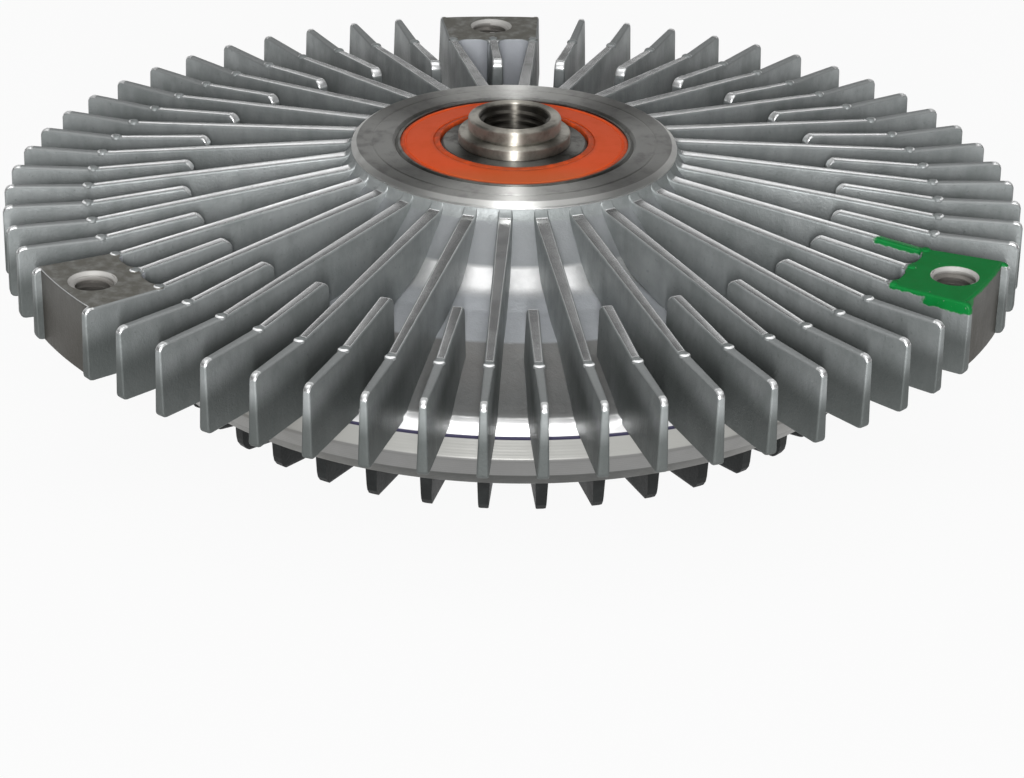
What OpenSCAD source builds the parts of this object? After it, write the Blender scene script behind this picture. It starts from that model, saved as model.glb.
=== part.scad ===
// Viscous fan clutch: finned rear housing, finned front cover, and the drive inside them.
// Millimetres. The origin is the centre of the plane of the three fan pads.
// +Z is the axis, towards the engine side and its drive stub. The front fins are lowest.

/* [Fan mount] */
// Radius of the circle of the three tapped fan holes
pad_hole_circle_r = 92.3; // [92:0.1:92.6]
// Radius of each tapped fan hole, M8 tapping size
pad_hole_r = 3.4; // [2.5:0.1:3.6]
// Radius of the countersink at the mouth of a fan hole
pad_sink_r = 4.55; // [4:0.05:4.8]
// Depth of that countersink
pad_sink_h = 0.45; // [0.3:0.05:0.5]
// Height of a fan pad
pad_h = 14.3; // [13:0.1:15]

/* [Rear housing fins] */
// Radius of the fin tips
fin_tip_r = 100; // [99:0.25:101]
// Number of places for a fin round the housing, a multiple of six
fin_count = 60; // [54:6:60]
// Inner radius of the long fins
long_fin_r = 34.5; // [33.5:0.25:36]
// Inner radius of the short fins
short_fin_r = 63.5; // [60:0.5:67]
// Radius at which the level crest of a fin starts to climb
crest_r = 83.7; // [82:0.1:85]
// Slope of the climbing crest, in degrees
crest_slope = 7.2; // [6:0.1:8]
// Thickness of a fin at its tip, at the level crest
fin_t = 1.3; // [1.1:0.05:1.6]
// Draft of each fin side, in degrees
fin_draft = 1.8; // [1:0.1:2.2]
// Angle by which each fin side opens towards the axis, in degrees
fin_flare = 0.82; // [0.5:0.02:1]
// Radius of the round ejector pad on each fin
pin_pad_r = 1.1; // [1:0.05:1.5]
// Height of the ejector pads over the level crest
pin_pad_h = 0.4; // [0.2:0.05:0.5]

/* [Rear housing body] */
// Radius of the machined ring round the bearing
ring_r = 32; // [31.5:0.1:32.4]
// Height of the machined ring
ring_z = 9; // [8.9:0.05:9.1]
// Radius of the rim that is rolled over the front cover
rim_r = 79.5; // [79.2:0.1:80]
// Radius of the cavity round the rotor
cavity_r = 68.6; // [68.4:0.1:69]

/* [Fluid lands] */
// Height of the inner face of the housing, between its lands
rear_floor_z = -11; // [-11.2:0.1:-10.8]
// Radius of the first land of the rotor
land_r = 38; // [37.5:0.1:38.4]
// Distance from one land to the next on the same part
land_pitch = 4.4; // [4.3:0.05:4.4]
// Width of one land
land_t = 1.8; // [1.6:0.1:1.9]
// Height of one land
land_h = 4; // [3.6:0.1:4.1]
// Gap between the tip of a land and the groove that it runs in
land_gap = 0.4; // [0.3:0.05:0.45]
// Number of lands on each side of the rotor
rotor_lands = 7; // [6:1:7]
// Thickness of the rotor web
web_t = 3; // [2.8:0.1:3.1]

/* [Front cover] */
// Number of fins on the front cover
cover_fin_count = 40; // [24:4:40]
// Radius of the outer ends of the cover fins
cover_fin_r = 68; // [66:0.5:69]
// Inner radius of the cover fins
cover_fin_in_r = 41; // [40.5:0.5:46]
// Height of the tips of the cover fins
cover_fin_z = -38; // [-38.5:0.1:-37.5]
// Turn of the cover fins, in degrees from the first fan pad
cover_fin_turn = 1.78; // [0:0.01:9]
// Thickness of a cover fin at its tip
cover_fin_t = 1.9; // [1.6:0.1:2.2]
// Draft of each side of a cover fin, in degrees
cover_fin_draft = 2.2; // [1:0.1:2.5]
// Radius of the fluid reservoir
reservoir_r = 35; // [34:0.5:35.5]

/* [Bearing] */
// Radius of the bearing bore
bearing_bore_r = 10; // [9.8:0.1:10]
// Outer radius of the bearing
bearing_r = 23.5; // [23.3:0.1:23.6]
// Width of the bearing
bearing_w = 14; // [13.6:0.1:14]
// Height of the rear face of the bearing
bearing_z = 8.9; // [8.6:0.05:8.95]
// Radius of one ball
ball_r = 3.85; // [3.7:0.05:3.9]
// Number of balls
ball_count = 8; // [6:1:8]

/* [Drive shaft] */
// Radius of the drive stub
stub_r = 9.1; // [8.8:0.05:9.3]
// Height of the end of the drive stub
stub_z = 14.2; // [13.8:0.1:14.6]
// Radius of the shoulder that clamps the bearing
shoulder_r = 11; // [10.8:0.1:11.4]
// Height of the upper face of that shoulder
shoulder_z = 11.2; // [11:0.1:11.5]
// Radius of the tapped bore in the stub, M14 fine tapping size
drive_bore_r = 6.25; // [6:0.05:6.4]
// Depth of the tapped bore
drive_bore_h = 18; // [14:0.5:18]
// Radius of the seat under the rotor
rotor_seat_r = 8.5; // [8.2:0.1:8.8]

/* [Thermostat] */
// Length of the bimetal strip
strip_l = 62; // [60:0.5:64]
// Width of the bimetal strip
strip_w = 14; // [12:0.5:14.5]
// Thickness of the bimetal strip
strip_t = 1; // [0.8:0.05:1.1]
// Radius of the control pin
control_pin_r = 2; // [1.8:0.05:2.2]
// Distance from the axis to the hinge line of the valve leaf
leaf_hinge_x = 16; // [15.5:0.1:16.5]
// Width of the valve leaf
leaf_w = 9; // [8:0.5:10]
// Distance from the axis to the valve port
port_x = 25; // [24:0.1:25.5]
// Radius of the valve port
port_r = 2.6; // [2:0.1:2.8]

/* [Hidden] */

$fn = 96;

CAST = [0.62, 0.65, 0.65];
CAST_DARK = [0.42, 0.45, 0.45];
STEEL = [0.66, 0.66, 0.68];
DARK_STEEL = [0.34, 0.34, 0.36];
ORANGE = [0.85, 0.36, 0.16];
BLACK_RUBBER = [0.08, 0.08, 0.08];
NYLON = [0.86, 0.82, 0.70];

eps = 0.02;          // clearance of faces that touch inside one body
step = 360 / fin_count;
pad_places = fin_count / 3;
short_fin_z = -8.4;

// Heights of the fluid lands, from the rear inner face to the front cover
rear_land_z = rear_floor_z - land_h;
rotor_rear_tip_z = rear_floor_z - land_gap;
rotor_rear_z = rear_land_z - land_gap;
rotor_front_z = rotor_rear_z - web_t;
rotor_front_tip_z = rotor_front_z - land_h;
cover_floor_z = rotor_front_tip_z - land_gap;
rotor_r = land_r + (rotor_lands - 1) * land_pitch + land_t;
between_r = land_r + land_pitch / 2;

// Rim and front cover
seat_z = -17.5;      // step of the housing that the cover sits on
skirt_r = 77.05;     // inside of the skirt round the cover
roll_z = -20.7;      // height at which the skirt turns inwards
web_z = -26.8;       // outer face of the cover between its fins
dish_z = -29.4;      // outer face of the reservoir bulge
pool_z = -26.6;      // floor of the reservoir
dish_r = 37.5;       // foot of the reservoir bulge

// Separator plate and valve
plate_t = 1.2;
plate_r = 36;
plate_z = -22.6;     // face of the plate towards the reservoir
leaf_t = 0.5;
leaf_gap = 0.05;
leaf_z = plate_z - leaf_gap - leaf_t;
screw_circle_r = 31;
screw_turns = [90, 210, 330];

// Thermostat
post_x = 27;
post_z = -33.1;
strip_z = post_z - strip_t;
boss_r = 6;
boss_z = -31.6;
pin_gap = 0.05;
pin_top_z = leaf_z - 0.15;
pin_bottom_z = post_z + 0.05;
seal_groove_z = -30.2;

// Bearing
pitch_r = (bearing_bore_r + bearing_r) / 2;
inner_land_r = 14.4;
outer_land_r = 19.1;
seal_seat_r = 22.45;
seal_h = 1.2;
race_r = 4.1;
bearing_mid_z = bearing_z - bearing_w / 2;
bearing_low_z = bearing_z - bearing_w;

// Points of an arc about a centre, from one angle to another
function arc(centre, r, from, to, steps) =
  [for (i = [0:steps]) let (a = from + (to - from) * i / steps) centre + r * [cos(a), sin(a)]];

// Height of the climbing crest of a fin at radius r
function crest_z(r) = r > crest_r ? 0 : (crest_r - r) * tan(crest_slope);

// Outline of a housing fin in the plane of radius and height.
// It ends inside the body, so only its crest, tip and underside show.
function fin_outline(inner_r, inner_z) = concat(
  arc([fin_tip_r - 2, -2], 2, 0, 90, 4),
  [[crest_r, 0]],
  arc([inner_r + 0.8, crest_z(inner_r + 0.8) - 0.8], 0.8, 90 + crest_slope, 180, 3),
  [[inner_r, inner_z], [60, min(-8, inner_z)], [69.5, -10.4], [72, -13], [rim_r - 4, -pad_h]],
  arc([fin_tip_r - 1, -pad_h + 1], 1, 270, 360, 2)
);

// A housing fin along +X, thin at its tip and crest, thick at its foot and towards the axis
module housing_fin(inner_r, inner_z) {
  difference() {
    rotate([90, 0, 0])
      linear_extrude(height = 8, center = true)
        polygon(fin_outline(inner_r, inner_z));
    for (side = [0, 1])
      mirror([0, side, 0])
        translate([fin_tip_r, fin_t / 2, 0])
          rotate([fin_draft, 0, -fin_flare])
            translate([-120, 0, -40])
              cube([140, 20, 80]);
  }
}

// Outline of a fan pad from above: a sector of a ring with a straight inner wall,
// which is rounded into the middle fin and the two fins at the edges
module pad_outline() {
  inner_r = 81.4;
  wall_r = 83.6;
  pocket_w = 7;
  pocket_y = 4.6;
  corner = 2.2;
  half_a = step;
  difference() {
    intersection() {
      difference() {
        circle(r = fin_tip_r - 1.3, $fn = 180);
        circle(r = inner_r, $fn = 180);
      }
      polygon([[0, 0], [120, -120 * tan(half_a)], [120, 120 * tan(half_a)]]);
    }
    for (side = [-1, 1])
      translate([wall_r, side * pocket_y]) {
        translate([-10, -pocket_w / 2])
          square([10 - corner, pocket_w]);
        translate([-corner - 1, -pocket_w / 2 + corner])
          square([corner + 1, pocket_w - 2 * corner]);
        for (end = [-1, 1])
          translate([-corner, end * (pocket_w / 2 - corner)])
            circle(r = corner, $fn = 32);
      }
  }
}

// Block of a fan pad, between the two fins at its edges
module fan_pad() {
  translate([0, 0, -pad_h])
    linear_extrude(height = pad_h)
      pad_outline();
}

// Tapped fan hole with its countersink
module fan_hole() {
  translate([pad_hole_circle_r, 0, 0]) {
    translate([0, 0, -pad_h - 1])
      cylinder(r = pad_hole_r, h = pad_h + 2, $fn = 48);
    translate([0, 0, -pad_sink_h])
      cylinder(r1 = pad_hole_r, r2 = pad_sink_r, h = pad_sink_h, $fn = 48);
    cylinder(r = pad_sink_r, h = 2, $fn = 48);
  }
}

// Section of the housing without fins: ring, bearing seat, sloped body, cavity and rolled rim
module housing_section() {
  lip_r = 20.5;
  polygon(concat(
    [[lip_r, bearing_low_z], [bearing_r, bearing_low_z], [bearing_r, ring_z - 0.6], [bearing_r + 0.6, ring_z]],
    arc([ring_r - 1, ring_z - 1], 1, 90, 0, 4),
    [[ring_r + 0.15, 7.1], [ring_r + 0.75, 5.9], [ring_r + 1.7, 4.75], [ring_r + 3, 3.45], [39.5, -0.7]],
    arc([37.9, -3.1], 3, 55, 32, 2),
    [[42.2, -3.35], [42.9, -3.95], [43.7, -4.35], [44.6, -4.6], [49.8, -5.2], [50.3, -5.45]],
    [[59.8, -6.6], [60.3, -6.9], [rim_r - 4.5, -11.75], [rim_r - 3.7, -12.2]],
    arc([rim_r - 4.4, -16.5], 4.4, 62, 4, 6),
    [[rim_r, roll_z], [76.2, -25.9]],
    arc([72.9, -27.6], 1.2, -45, -225, 6),
    [[74.3, -24.5], [skirt_r, roll_z], [skirt_r, seat_z]],
    [[cavity_r, seat_z], [cavity_r, rear_floor_z], [34, rear_floor_z], [29, -7.6], [lip_r, -7.6]]
  ));
}

module rear_housing() {
  color(CAST)
    difference() {
      union() {
        rotate_extrude($fn = 180) {
          housing_section();
          for (i = [0:rotor_lands - 2])
            translate([between_r + i * land_pitch, rear_land_z])
              square([land_t, land_h + 1]);
        }
        for (i = [0:fin_count - 1])
          rotate([0, 0, 90 + i * step]) {
            if (i % pad_places == 0)
              intersection() {
                housing_fin(short_fin_r, short_fin_z);
                translate([0, -5, -pad_h - 1])
                  cube([fin_tip_r - 2, 10, pad_h + 10]);
              }
            else
              housing_fin(i % 2 == 1 ? long_fin_r : short_fin_r, i % 2 == 1 ? 0 : short_fin_z);
            translate([crest_r, 0, -pad_h])
              cylinder(r = pin_pad_r, h = pad_h + pin_pad_h, $fn = 24);
          }
        for (i = [0:2])
          rotate([0, 0, 90 + i * 120])
            fan_pad();
      }
      for (i = [0:2])
        rotate([0, 0, 90 + i * 120])
          fan_hole();
    }
}

// Cover fin along +X with a rounded crest and a rounded outer corner
module cover_fin() {
  corner = 3;
  inner_corner = 2;
  root_z = web_z + 1;
  depth = root_z - cover_fin_z;
  crest = cover_fin_t / 2;
  foot = crest + (depth - crest) * tan(cover_fin_draft);
  intersection() {
    rotate([90, 0, 0])
      linear_extrude(height = 8, center = true)
        polygon(concat(
          [[cover_fin_in_r, root_z], [cover_fin_r + 0.4, root_z]],
          arc([cover_fin_r - corner, cover_fin_z + corner], corner, 0, -90, 4),
          arc([cover_fin_in_r + 3 + inner_corner, cover_fin_z + inner_corner], inner_corner, 270, 200, 2)
        ));
    rotate([90, 0, 90])
      linear_extrude(height = 90)
        polygon(concat(
          [[-foot, root_z]],
          arc([0, cover_fin_z + crest], crest, 180, 360, 6),
          [[foot, root_z]]
        ));
  }
}

// Post that carries one end of the bimetal strip, along +X
module strip_post() {
  w = 16;
  l = 9;
  notch = 0.8;
  difference() {
    translate([post_x - l / 2, -w / 2, post_z])
      cube([l, w, dish_z - post_z + 1]);
    for (side = [-1, 1])
      translate([post_x - 4, side * w / 2 - notch, -32])
        cube([8, 2 * notch, 1.8]);
  }
}

module cover_section() {
  polygon([
    [0, pool_z], [reservoir_r, pool_z], [reservoir_r, plate_z], [plate_r + eps, plate_z],
    [plate_r + eps, cover_floor_z + 2.2], [land_r - 0.5, cover_floor_z + 2.2], [land_r - 0.5, cover_floor_z],
    [cavity_r, cover_floor_z], [cavity_r, seat_z - eps],
    [skirt_r - eps, seat_z - eps], [skirt_r - eps, -18.6], [75.4, -18.6], [75.4, -20.3],
    [skirt_r - eps, -20.3], [skirt_r - eps, roll_z + eps], [74.26, -24.48], [71.9, web_z],
    [dish_r, web_z], [dish_r - 2.6, dish_z],
    [boss_r, dish_z], [boss_r, boss_z], [0, boss_z]
  ]);
}

module front_cover() {
  return_r = 66;
  color(CAST_DARK)
    difference() {
      union() {
        rotate_extrude($fn = 180) {
          cover_section();
          for (i = [0:rotor_lands - 2])
            translate([between_r + i * land_pitch, cover_floor_z - 1])
              square([land_t, land_h + 1]);
        }
        for (i = [0:cover_fin_count - 1])
          rotate([0, 0, cover_fin_turn + i * 360 / cover_fin_count])
            cover_fin();
        for (turn = [0, 180])
          rotate([0, 0, turn])
            strip_post();
        for (a = screw_turns)
          rotate([0, 0, a])
            translate([screw_circle_r, 0, pool_z - 1])
              cylinder(r = 3, h = plate_z - pool_z + 1, $fn = 48);
      }
      translate([0, 0, boss_z - 1])
        cylinder(r = control_pin_r + pin_gap, h = 8, $fn = 48);
      translate([0, 0, seal_groove_z - 0.8])
        cylinder(r = control_pin_r + 1.55, h = 1.6, $fn = 48);
      for (a = screw_turns)
        rotate([0, 0, a])
          translate([screw_circle_r, 0, plate_z - 4])
            cylinder(r = 1.25, h = 5, $fn = 32);
      rotate([0, 0, 45])
        translate([22, 0, dish_z - 1])
          cylinder(r = 2.5, h = 6, $fn = 48);
      rotate([0, 0, 172])
        translate([return_r, 0, cover_floor_z - 2])
          cylinder(r = 1, h = 4, $fn = 24);
      rotate([0, 0, 172])
        translate([reservoir_r - 2, 0, cover_floor_z - 2])
          rotate([0, 90, 0])
            cylinder(r = 0.9, h = return_r - reservoir_r + 2.5, $fn = 24);
    }
}

module cover_seal() {
  color(BLACK_RUBBER)
    rotate_extrude($fn = 180)
      translate([76.2, -19.45])
        circle(r = 0.78, $fn = 24);
}

module bearing_outer_ring() {
  c = 0.6;
  color(STEEL)
    rotate_extrude()
      difference() {
        polygon([
          [outer_land_r, bearing_low_z + seal_h], [seal_seat_r, bearing_low_z + seal_h],
          [seal_seat_r, bearing_low_z], [bearing_r - c, bearing_low_z],
          [bearing_r - eps, bearing_low_z + c], [bearing_r - eps, bearing_z - c],
          [bearing_r - c, bearing_z], [seal_seat_r, bearing_z],
          [seal_seat_r, bearing_z - seal_h], [outer_land_r, bearing_z - seal_h]
        ]);
        translate([pitch_r, bearing_mid_z])
          circle(r = race_r, $fn = 64);
      }
}

module bearing_inner_ring() {
  c = 0.5;
  color(DARK_STEEL)
    rotate_extrude()
      difference() {
        polygon([
          [bearing_bore_r + eps, bearing_low_z + c], [bearing_bore_r + eps + c, bearing_low_z],
          [inner_land_r - c, bearing_low_z], [inner_land_r, bearing_low_z + c],
          [inner_land_r, bearing_z - c], [inner_land_r - c, bearing_z],
          [bearing_bore_r + eps + c, bearing_z], [bearing_bore_r + eps, bearing_z - c]
        ]);
        translate([pitch_r, bearing_mid_z])
          circle(r = race_r, $fn = 64);
      }
}

module bearing_balls() {
  color(STEEL)
    for (i = [0:ball_count - 1])
      rotate([0, 0, i * 360 / ball_count])
        translate([pitch_r, 0, bearing_mid_z])
          sphere(r = ball_r, $fn = 48);
}

module bearing_cage() {
  color(NYLON)
    difference() {
      rotate_extrude()
        translate([15.6, bearing_mid_z - 1.8])
          square([2.4, 7]);
      for (i = [0:ball_count - 1])
        rotate([0, 0, i * 360 / ball_count])
          translate([pitch_r, 0, bearing_mid_z])
            sphere(r = ball_r + 0.15, $fn = 48);
    }
}

// Section of a rubber seal, facing up: a flat body with a bead and a thin lip at its bore
module seal_section() {
  polygon([
    [inner_land_r + 0.15, -0.9], [inner_land_r + 0.15, 0.25], [inner_land_r + 0.3, 0.45], [15.3, 0.4],
    [15.8, 0.1], [16.4, 0.15], [21.2, -0.1], [21.6, -0.3], [22, -0.1], [seal_seat_r - eps, -0.3],
    [seal_seat_r - eps, -1.15], [20, -1.15], [16, -1.0]
  ]);
}

module bearing_rear_seal() {
  color(ORANGE)
    rotate_extrude()
      translate([0, bearing_z])
        seal_section();
}

module bearing_front_seal() {
  color(ORANGE)
    rotate_extrude()
      translate([0, bearing_low_z])
        mirror([0, 1])
          seal_section();
}

module drive_shaft() {
  end_z = rotor_front_z - 1.9;
  groove_z = rotor_front_z - 1.25;
  color(STEEL)
    rotate_extrude()
      polygon([
        [0, end_z], [rotor_seat_r - 0.6, end_z], [rotor_seat_r, end_z + 0.5],
        [rotor_seat_r, groove_z], [rotor_seat_r - 0.8, groove_z],
        [rotor_seat_r - 0.8, rotor_front_z - eps], [rotor_seat_r, rotor_front_z - eps],
        [rotor_seat_r, bearing_low_z - 0.4], [bearing_bore_r - 0.4, bearing_low_z], [bearing_bore_r, bearing_low_z + 0.4],
        [bearing_bore_r, bearing_z + eps], [shoulder_r - 0.3, bearing_z + eps], [shoulder_r, bearing_z + 0.3],
        [shoulder_r, shoulder_z - 0.4], [shoulder_r - 0.4, shoulder_z], [stub_r - 0.4, shoulder_z],
        [stub_r - 0.4, shoulder_z + 0.4], [stub_r, shoulder_z + 0.4], [stub_r, stub_z - 0.6], [stub_r - 0.6, stub_z],
        [drive_bore_r + 0.8, stub_z], [drive_bore_r, stub_z - 0.8],
        [drive_bore_r, stub_z - drive_bore_h], [0, stub_z - drive_bore_h - 3]
      ]);
}

module rotor() {
  hub_r = 13.4;
  color(CAST)
    difference() {
      rotate_extrude($fn = 180) {
        polygon([
          [rotor_seat_r + eps, rotor_front_z], [rotor_r, rotor_front_z], [rotor_r, rotor_rear_z],
          [32, rotor_rear_z], [19, rotor_rear_z + 1.4], [hub_r, -9], [hub_r, bearing_low_z - eps],
          [bearing_bore_r + 0.4, bearing_low_z - eps], [rotor_seat_r + eps, bearing_low_z - 1]
        ]);
        for (i = [0:rotor_lands - 1])
          translate([land_r + i * land_pitch, rotor_front_tip_z])
            square([land_t, 2 * land_h + web_t]);
      }
      for (i = [0:5])
        rotate([0, 0, 30 + i * 60])
          translate([26, 0, rotor_front_z - 1])
            cylinder(r = 3.2, h = 8, $fn = 48);
    }
}

module rotor_circlip() {
  w = 1.2;
  color(DARK_STEEL)
    translate([0, 0, rotor_front_z - 0.04 - w])
      difference() {
        union() {
          cylinder(r = rotor_seat_r + 1.4, h = w);
          for (side = [-1, 1])
            translate([rotor_seat_r + 1.2, side * 2.4, 0])
              cylinder(r = 1.7, h = w, $fn = 32);
        }
        translate([0, 0, -1])
          cylinder(r = rotor_seat_r - 0.75, h = w + 2);
        translate([0, -1, -1])
          cube([20, 2, w + 2]);
        for (side = [-1, 1])
          translate([rotor_seat_r + 1.3, side * 2.4, -1])
            cylinder(r = 0.75, h = w + 2, $fn = 24);
      }
}

module separator_plate() {
  color(STEEL)
    translate([0, 0, plate_z])
      difference() {
        cylinder(r = plate_r, h = plate_t, $fn = 180);
        translate([port_x, 0, -1])
          cylinder(r = port_r, h = plate_t + 2, $fn = 48);
        translate([-leaf_hinge_x - 3, 0, -1])
          cylinder(r = 1.5, h = plate_t + 2, $fn = 32);
        for (a = screw_turns)
          rotate([0, 0, a])
            translate([screw_circle_r, 0, -1])
              cylinder(r = 1.7, h = plate_t + 2, $fn = 32);
      }
}

module plate_screws() {
  head_r = 2.8;
  head_h = 1.4;
  color(DARK_STEEL)
    for (a = screw_turns)
      rotate([0, 0, a])
        translate([screw_circle_r, 0, plate_z])
          difference() {
            union() {
              translate([0, 0, -3.6])
                cylinder(r = 1.23, h = 3.6 + plate_t, $fn = 32);
              translate([0, 0, plate_t + eps])
                cylinder(r1 = head_r, r2 = head_r - 0.5, h = head_h, $fn = 48);
            }
            translate([-head_r, -0.35, plate_t + head_h - 0.6])
              cube([2 * head_r, 0.7, 1]);
          }
}

// Block that dams the fluid at the rotor edge and sends it back through the return passage
module pump_wiper() {
  half_a = 4;
  color(NYLON)
    rotate([0, 0, 180])
      translate([0, 0, cover_floor_z + eps])
        linear_extrude(height = 3)
          intersection() {
            difference() {
              circle(r = cavity_r - eps, $fn = 180);
              circle(r = rotor_r + 0.3, $fn = 180);
            }
            polygon([[0, 0], [90, -90 * tan(half_a)], [90, 90 * tan(half_a)]]);
          }
}

// Spring leaf that covers the port from the reservoir side, from its crease to its round end
module valve_leaf() {
  color(STEEL) {
    translate([0, 0, leaf_z])
      linear_extrude(height = leaf_t)
        union() {
          translate([-leaf_hinge_x, -leaf_w / 2])
            square([leaf_hinge_x + port_x, leaf_w]);
          translate([port_x, 0])
            circle(r = leaf_w / 2, $fn = 48);
        }
    translate([-leaf_hinge_x, leaf_w / 2, leaf_z + leaf_t / 2])
      rotate([90, 0, 0])
        cylinder(r = leaf_t / 2, h = leaf_w, $fn = 24);
  }
}

// Clamped root of the spring leaf, under its rivet
module leaf_root() {
  color(STEEL)
    difference() {
      translate([-leaf_hinge_x - 6.3, -leaf_w / 2, leaf_z])
        cube([6, leaf_w, leaf_t + leaf_gap - eps]);
      translate([-leaf_hinge_x - 3, 0, leaf_z - 1])
        cylinder(r = 1.5, h = 3, $fn = 32);
    }
}

module valve_rivet() {
  color(DARK_STEEL)
    translate([-leaf_hinge_x - 3, 0, 0]) {
      translate([0, 0, leaf_z - 1.2])
        cylinder(r = 1.45, h = plate_z - leaf_z + plate_t + 1.2, $fn = 32);
      translate([0, 0, leaf_z - 1.2])
        cylinder(r = 2.6, h = 1.2 - eps, $fn = 32);
      translate([0, 0, plate_z + plate_t + eps])
        cylinder(r = 2.4, h = 0.8, $fn = 32);
    }
}

module control_pin() {
  color(STEEL)
    translate([0, 0, pin_bottom_z])
      union() {
        cylinder(r = control_pin_r, h = pin_top_z - pin_bottom_z - 0.6, $fn = 48);
        translate([0, 0, pin_top_z - pin_bottom_z - 0.6])
          cylinder(r1 = control_pin_r, r2 = control_pin_r - 0.6, h = 0.6, $fn = 48);
      }
}

module pin_seal() {
  color(BLACK_RUBBER)
    rotate_extrude($fn = 48)
      translate([control_pin_r + 0.81, seal_groove_z])
        circle(r = 0.72, $fn = 24);
}

module bimetal_strip() {
  color([0.75, 0.72, 0.62])
    translate([0, 0, strip_z])
      linear_extrude(height = strip_t - eps)
        difference() {
          union() {
            square([strip_l - 4, strip_w], center = true);
            square([strip_l, strip_w - 4], center = true);
            for (x = [-1, 1], y = [-1, 1])
              translate([x * (strip_l / 2 - 2), y * (strip_w / 2 - 2)])
                circle(r = 2, $fn = 24);
          }
        }
}

// Spring steel clip that holds one end of the strip on its post
module strip_clip() {
  w = 6;
  inner_y = 8.1;
  t = 0.9;
  foot_z = -31.9;
  translate([post_x - w / 2, 0, 0])
    rotate([90, 0, 90])
      linear_extrude(height = w)
        polygon([
          [-inner_y - t, strip_z - eps - t], [inner_y + t, strip_z - eps - t], [inner_y + t, foot_z + 1.3],
          [inner_y - 0.6, foot_z + 1.3], [inner_y - 0.6, foot_z + 0.4], [inner_y, foot_z + 0.4],
          [inner_y, strip_z - eps], [-inner_y, strip_z - eps], [-inner_y, foot_z + 0.4],
          [-inner_y + 0.6, foot_z + 0.4], [-inner_y + 0.6, foot_z + 1.3], [-inner_y - t, foot_z + 1.3]
        ]);
}

module strip_clips() {
  color(DARK_STEEL)
    for (turn = [0, 180])
      rotate([0, 0, turn])
        strip_clip();
}

module fill_plug() {
  color(STEEL)
    rotate([0, 0, 45])
      translate([22, 0, dish_z - 0.3])
        cylinder(r = 2.48, h = 2.6, $fn = 48);
}

rear_housing();
front_cover();
cover_seal();
bearing_outer_ring();
bearing_inner_ring();
bearing_balls();
bearing_cage();
bearing_rear_seal();
bearing_front_seal();
drive_shaft();
rotor();
rotor_circlip();
separator_plate();
plate_screws();
pump_wiper();
valve_leaf();
leaf_root();
valve_rivet();
control_pin();
pin_seal();
bimetal_strip();
strip_clips();
fill_plug();
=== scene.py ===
import math

import bmesh
import bpy
from bpy.props import FloatProperty, FloatVectorProperty, IntProperty, PointerProperty
from mathutils import Matrix, Vector


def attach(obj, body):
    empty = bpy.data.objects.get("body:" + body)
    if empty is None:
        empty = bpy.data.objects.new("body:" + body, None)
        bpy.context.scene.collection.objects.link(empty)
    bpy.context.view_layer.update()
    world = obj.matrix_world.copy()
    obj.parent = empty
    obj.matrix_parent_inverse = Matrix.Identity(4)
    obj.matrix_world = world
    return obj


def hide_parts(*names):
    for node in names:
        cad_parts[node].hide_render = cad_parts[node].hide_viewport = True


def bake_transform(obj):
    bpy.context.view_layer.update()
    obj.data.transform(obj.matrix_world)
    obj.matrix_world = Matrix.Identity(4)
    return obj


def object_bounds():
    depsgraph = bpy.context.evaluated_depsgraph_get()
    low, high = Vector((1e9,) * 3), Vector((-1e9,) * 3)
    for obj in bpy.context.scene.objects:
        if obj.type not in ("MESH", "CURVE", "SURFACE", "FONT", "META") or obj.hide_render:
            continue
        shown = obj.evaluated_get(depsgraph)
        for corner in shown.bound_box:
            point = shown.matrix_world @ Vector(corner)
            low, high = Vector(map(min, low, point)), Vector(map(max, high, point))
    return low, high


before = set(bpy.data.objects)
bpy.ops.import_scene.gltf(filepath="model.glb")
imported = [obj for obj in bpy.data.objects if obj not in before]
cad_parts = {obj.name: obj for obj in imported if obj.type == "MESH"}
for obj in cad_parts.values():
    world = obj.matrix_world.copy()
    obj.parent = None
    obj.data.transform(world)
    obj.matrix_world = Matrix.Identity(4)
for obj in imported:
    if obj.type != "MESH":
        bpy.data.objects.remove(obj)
cad_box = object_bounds()

bl_info = {
    "name": "Viscous fan clutch",
    "version": (1, 0, 0),
    "blender": (4, 5, 0),
    "location": "3D View > Sidebar > Fan clutch",
    "description": "Models the cast, turned and rubber pieces of a viscous fan clutch and their finishes",
    "category": "Mesh",
}

MM = 0.001
UP = Vector((0, 0, 1))
PAD_TURNS = (90, 210, 330)
PAINTED_PAD = 330
FIN_STEP = 6
FIN_PLACES = 60
PAD_PLACES = FIN_PLACES // len(PAD_TURNS)  # a fin place that this divides has a fan pad instead of its short fin
CREST_SLOPE = math.radians(7.2)
# Radii in millimetres: where a crest starts to climb, for the masks of the cast skin, and the circle of fan holes
CREST_LINE = 83.65
HOLE_CIRCLE = 92.3
# Also in millimetres: a fin that starts within the first radius runs up into the ring, and the fin in the middle of
# a pad is cut off at the second, where the pad hides its end
RING_WALL = 33
IN_PAD = 88
# Brightness of the sky in front of the part, what is left of it at both sides, and the brightness behind the part
# from level (0) to straight up (1)
SKY_FRONT = 0.4
SKY_FLANKS = 0.3
SKY_BEHIND = (
    (0, 0.8), (0.03, 0.4), (0.07, 0.09), (0.16, 0.12), (0.24, 0.24), (0.3, 0.42), (0.335, 1.4),
    (0.4, 1.4), (0.45, 0.55), (0.53, 0.3), (0.59, 0.1), (1, 0.12),
)

# Share of the floor that shows white by itself, without the light
FLOOR_GLOW = 0.93

# The photo's camera: its place, its lens in millimetres, and its heading, dip and roll in degrees
CAMERA_PLACE = (-0.03654, -0.59573, 0.2449)
CAMERA_LENS = 114.46
CAMERA_TURN = (86.44, 25.93, 1.14)


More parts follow.
